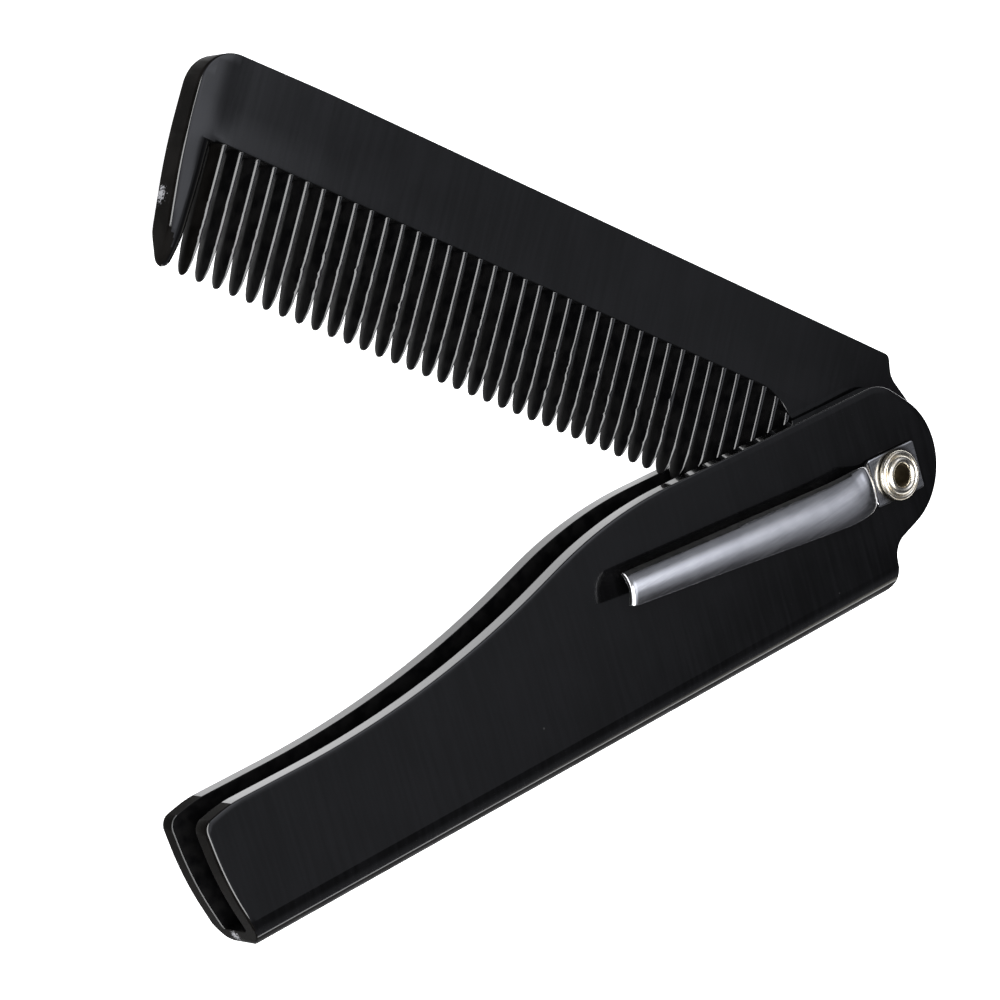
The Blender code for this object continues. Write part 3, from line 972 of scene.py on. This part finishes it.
def hollow_shade_black(name):
    """The dull black of the tooth flanks and of the channel, its reflection turned down as painted shade
    where these lie in shade.
    """
    made, nodes, shader = node_material(name)
    place_at = nodes.coordinates()
    patches = nodes.noise(place_at, 700.0, 3.0)
    dull = nodes.mix(nodes.remap(patches, 0.35, 0.65), (0.0012, 0.0012, 0.0014), (0.0034, 0.0033, 0.0034))
    nodes.link(dull, shader["Base Color"])
    nodes.link(nodes.remap(patches, 0.3, 0.7, 0.42, 0.60), shader["Roughness"])
    nodes.link(nodes.bump(nodes.noise(place_at, 5000.0, 2.0), 0.12, 0.02 * MM), shader["Normal"])
    # Painted shade: the weak reflection keeps these faces as dark as shaded surroundings would.
    shader["Specular IOR Level"].default_value = 0.03
    return made


def brushed_steel(name):
    """Bright sheet steel with a fine grain along the strip, darkened close to the rivet as painted shade."""
    made, nodes, shader = node_material(name)
    place_at = nodes.coordinates()
    grain = nodes.noise(nodes.stretch(place_at, -4.8, (60.0, 9000.0, 9000.0)), 1.0, 3.0)
    patches = nodes.noise(place_at, 300.0, 3.0)
    clean = nodes.mix(nodes.remap(patches, 0.3, 0.7), (0.52, 0.52, 0.535), (0.60, 0.60, 0.61))
    # Painted shade: the steel darkens in a ring close to the rivet.
    from_rivet = nodes.vector("MULTIPLY", nodes.vector("SUBTRACT", place_at, tuple(PIVOT)), (1.0, 1.0, 0.0))
    shade_near_rivet = nodes.remap(nodes.vector("LENGTH", from_rivet), 2.4 * MM, 3.2 * MM, 1.0, 0.0)
    nodes.link(nodes.mix(shade_near_rivet, clean, (0.05, 0.046, 0.036)), shader["Base Color"])
    nodes.link(nodes.remap(grain, 0.3, 0.7, 0.15, 0.24), shader["Roughness"])
    nodes.link(nodes.bump(grain, 0.10, 0.01 * MM), shader["Normal"])
    shader["Metallic"].default_value = 1.0
    return made


def dull_shade_metal(name, colour, roughness):
    """Dark, dull metal of an underside or a bore, painted shade where little light reaches."""
    made, nodes, shader = node_material(name)
    patches = nodes.noise(nodes.coordinates(), 900.0, 3.0)
    darker = tuple(value * 0.6 for value in colour)
    nodes.link(nodes.mix(nodes.remap(patches, 0.3, 0.7), darker, colour), shader["Base Color"])
    nodes.link(nodes.remap(patches, 0.3, 0.7, roughness * 0.8, roughness * 1.2), shader["Roughness"])
    shader["Metallic"].default_value = 1.0
    return made


def warm_nickel(name):
    """Polished warm nickel with faint turning marks and tarnish."""
    made, nodes, shader = node_material(name)
    place_at = nodes.coordinates()
    tarnish = nodes.noise(place_at, 1100.0, 4.0)
    colour = nodes.mix(nodes.remap(tarnish, 0.40, 0.70), (0.80, 0.76, 0.67), (0.52, 0.46, 0.36))
    nodes.link(colour, shader["Base Color"])
    nodes.link(nodes.remap(tarnish, 0.3, 0.7, 0.16, 0.30), shader["Roughness"])
    nodes.link(nodes.bump(nodes.noise(place_at, 4000.0, 2.0), 0.08, 0.01 * MM), shader["Normal"])
    shader["Metallic"].default_value = 1.0
    return made


# The pieces, each with its finishes, its body and the node that it stands for

HANDLE_SCUFF = (-44.1 * MM, -34.6 * MM, 2.8 * MM)
HANDLE_SCUFF_RADIUS = 0.6 * MM
BLADE_SCUFF = (-29.2 * MM, 26.3 * MM, 2.6 * MM)
BLADE_SCUFF_RADIUS = 0.8 * MM
# Painted shade: dark colours for the clip's underside and the rivet's bore.
UNDERSIDE_SHADE_COLOUR = (0.04, 0.04, 0.04)
BORE_SHADE_COLOUR = (0.20, 0.16, 0.10)


def dress(item, finishes, choose, body, node, turn_deg=0.0):
    """Give a piece its finishes, turn it about the rivet, set it in the frame and hide the node that it
    stands for.
    """
    item.data.materials.clear()
    for finish in finishes:
        item.data.materials.append(finish)
    for face in item.data.polygons:
        face.material_index = choose(face.center, face.normal)
    turn = Matrix.Rotation(math.radians(turn_deg), 4, "Z")
    item.data.transform(Matrix.Translation(PIVOT) @ turn)
    item.data.update()
    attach(item, body)
    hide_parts(node)


dress(make_handle(),
      [polished_black("handle_polished", 0.0),
       satin_shade_black("handle_satin_shade", HANDLE_SCUFF, HANDLE_SCUFF_RADIUS),
       hollow_shade_black("handle_inside")],
      handle_finish, "handle_body", "handle")
dress(make_blade(),
      [polished_black("blade_polished", OPEN_ANGLE_DEG),
       satin_shade_black("blade_satin_shade", BLADE_SCUFF, BLADE_SCUFF_RADIUS),
       hollow_shade_black("tooth_flanks")],
      blade_finish, "blade_body", "comb_blade", -OPEN_ANGLE_DEG)
dress(make_clip(),
      [brushed_steel("clip_brushed"), dull_shade_metal("clip_underside", UNDERSIDE_SHADE_COLOUR, 0.5)],
      clip_finish, "handle_body", "pocket_clip")
dress(make_rivet(),
      [warm_nickel("rivet_nickel"), dull_shade_metal("rivet_bore", BORE_SHADE_COLOUR, 0.5)],
      rivet_finish, "handle_body", "eyelet_rivet")


# Floor, light and camera

LIGHT_DISTANCE = 1.2
UPWARD = (-0.5, 1.0, 1.0)
GLOW_TOWARD = (0.47, 0.27, 0.84)
HORIZON_TOWARD = (0.8, -0.6, 0.0)
COOL = (0.95, 0.98, 1.08)
WARM = (1.05, 1.0, 0.84)


def soft_box(name, direction, size, radiance):
    """A soft box that faces the comb from a direction, with its edges along X and across it."""
    data = bpy.data.lights.new(name, "AREA")
    data.shape = "RECTANGLE"
    data.size = size[0]
    data.size_y = size[1]
    data.energy = radiance * math.pi * size[0] * size[1]
    made = bpy.data.objects.new(name, data)
    bpy.context.scene.collection.objects.link(made)
    back = Vector(direction).normalized()
    right = (Vector((1.0, 0.0, 0.0)) - back * back.x).normalized()
    axes = Matrix((right, back.cross(right), back)).transposed().to_4x4()
    made.matrix_world = Matrix.Translation(back * LIGHT_DISTANCE) @ axes


def make_floor():
    """A pale table that glows a little, as a lit sheet does."""
    made = bmesh.new()
    bmesh.ops.create_grid(made, x_segments=1, y_segments=1, size=1.5)
    item = new_object("floor", made)
    finish, nodes, shader = node_material("floor_white")
    shader["Base Color"].default_value = (0.86, 0.86, 0.86, 1.0)
    shader["Roughness"].default_value = 0.9
    shader["Specular IOR Level"].default_value = 0.0
    shader["Emission Color"].default_value = (1.0, 1.0, 1.0, 1.0)
    shader["Emission Strength"].default_value = 0.75
    item.data.materials.append(finish)


def make_studio():
    """Dim, cool light from all round, a broad glow high on the right and a warm strip low on the right."""
    world = bpy.data.worlds.new("studio")
    bpy.context.scene.world = world
    world.use_nodes = True
    nodes = Nodes(world.node_tree)
    toward = nodes.coordinates("Generated")
    split = nodes.tree.nodes.new("ShaderNodeSeparateXYZ")
    nodes.link(toward, split.inputs[0])
    x, y, z = split.outputs
    # The room is brighter towards the top, the back and the left, but dark low down at the back.
    rise = nodes.vector("DOT_PRODUCT", toward, UPWARD)
    far_low = nodes.product(nodes.remap(y, 0.30, 0.50), nodes.remap(z, 0.22, 0.45, 0.9, 0.0))
    room = nodes.product(nodes.remap(rise, 0.095, 0.205, 0.03, 0.25), nodes.maths("SUBTRACT", 1.0, far_low))
    upper = nodes.product(nodes.remap(rise, 0.36, 0.52, 0.0, 0.65), nodes.remap(y, -0.06, 0.04, 1.0, 0.0))
    near_low = nodes.product(nodes.remap(y, -0.6, -0.3, 0.12, 0.0), nodes.remap(z, 0.3, 0.6, 1.0, 0.0))
    # The glow has a brighter core and fades towards the right.
    nearness = nodes.vector("DOT_PRODUCT", toward, GLOW_TOWARD)
    wide = nodes.remap(nearness, 0.915, 0.965, 0.0, 0.95)
    core = nodes.remap(nearness, 0.965, 0.981, 0.0, 0.5)
    glow = nodes.product(nodes.total(wide, core), nodes.remap(x, 0.60, 0.67, 1.0, 0.35))
    cool = nodes.total(nodes.total(room, near_low), nodes.total(glow, upper))
    # The warm strip stands on the horizon.
    azimuth = nodes.remap(nodes.vector("DOT_PRODUCT", toward, HORIZON_TOWARD), 0.925, 0.985)
    warm = nodes.product(azimuth, nodes.remap(z, 0.02, 0.22, 1.0, 0.0))
    cool_light = nodes.vector("SCALE", COOL, scale=cool)
    warm_light = nodes.vector("SCALE", WARM, scale=warm)
    background = nodes.tree.nodes["Background"].inputs
    nodes.link(nodes.vector("ADD", cool_light, warm_light), background["Color"])
    background["Strength"].default_value = 1.0


make_floor()
make_studio()
soft_box("left_light", (-0.34, -0.03, 0.94), (0.75, 1.6), 9.0)
soft_box("low_left_light", (-0.80, -0.05, 0.60), (0.45, 0.9), 3.5)

CAMERA_PLACE = Vector((-0.197287, 0.066325, 0.257774))
CAMERA_HEADING = math.radians(-111.7091)
CAMERA_TILT = math.radians(39.1543)
CAMERA_ROLL = math.radians(90.9145)
CAMERA_LENS = 132.562
camera_data = bpy.data.cameras.new("camera")
camera_data.sensor_width = 36.0
camera_data.lens = CAMERA_LENS
camera_data.clip_start = 0.01
camera_data.clip_end = 10.0
camera = bpy.data.objects.new("camera", camera_data)
bpy.context.scene.collection.objects.link(camera)
camera.matrix_world = (Matrix.Translation(CAMERA_PLACE) @ Matrix.Rotation(CAMERA_HEADING, 4, "Z")
                       @ Matrix.Rotation(CAMERA_TILT, 4, "X") @ Matrix.Rotation(CAMERA_ROLL, 4, "Z"))
bpy.context.scene.camera = camera
bpy.context.scene.view_settings.view_transform = "Standard"
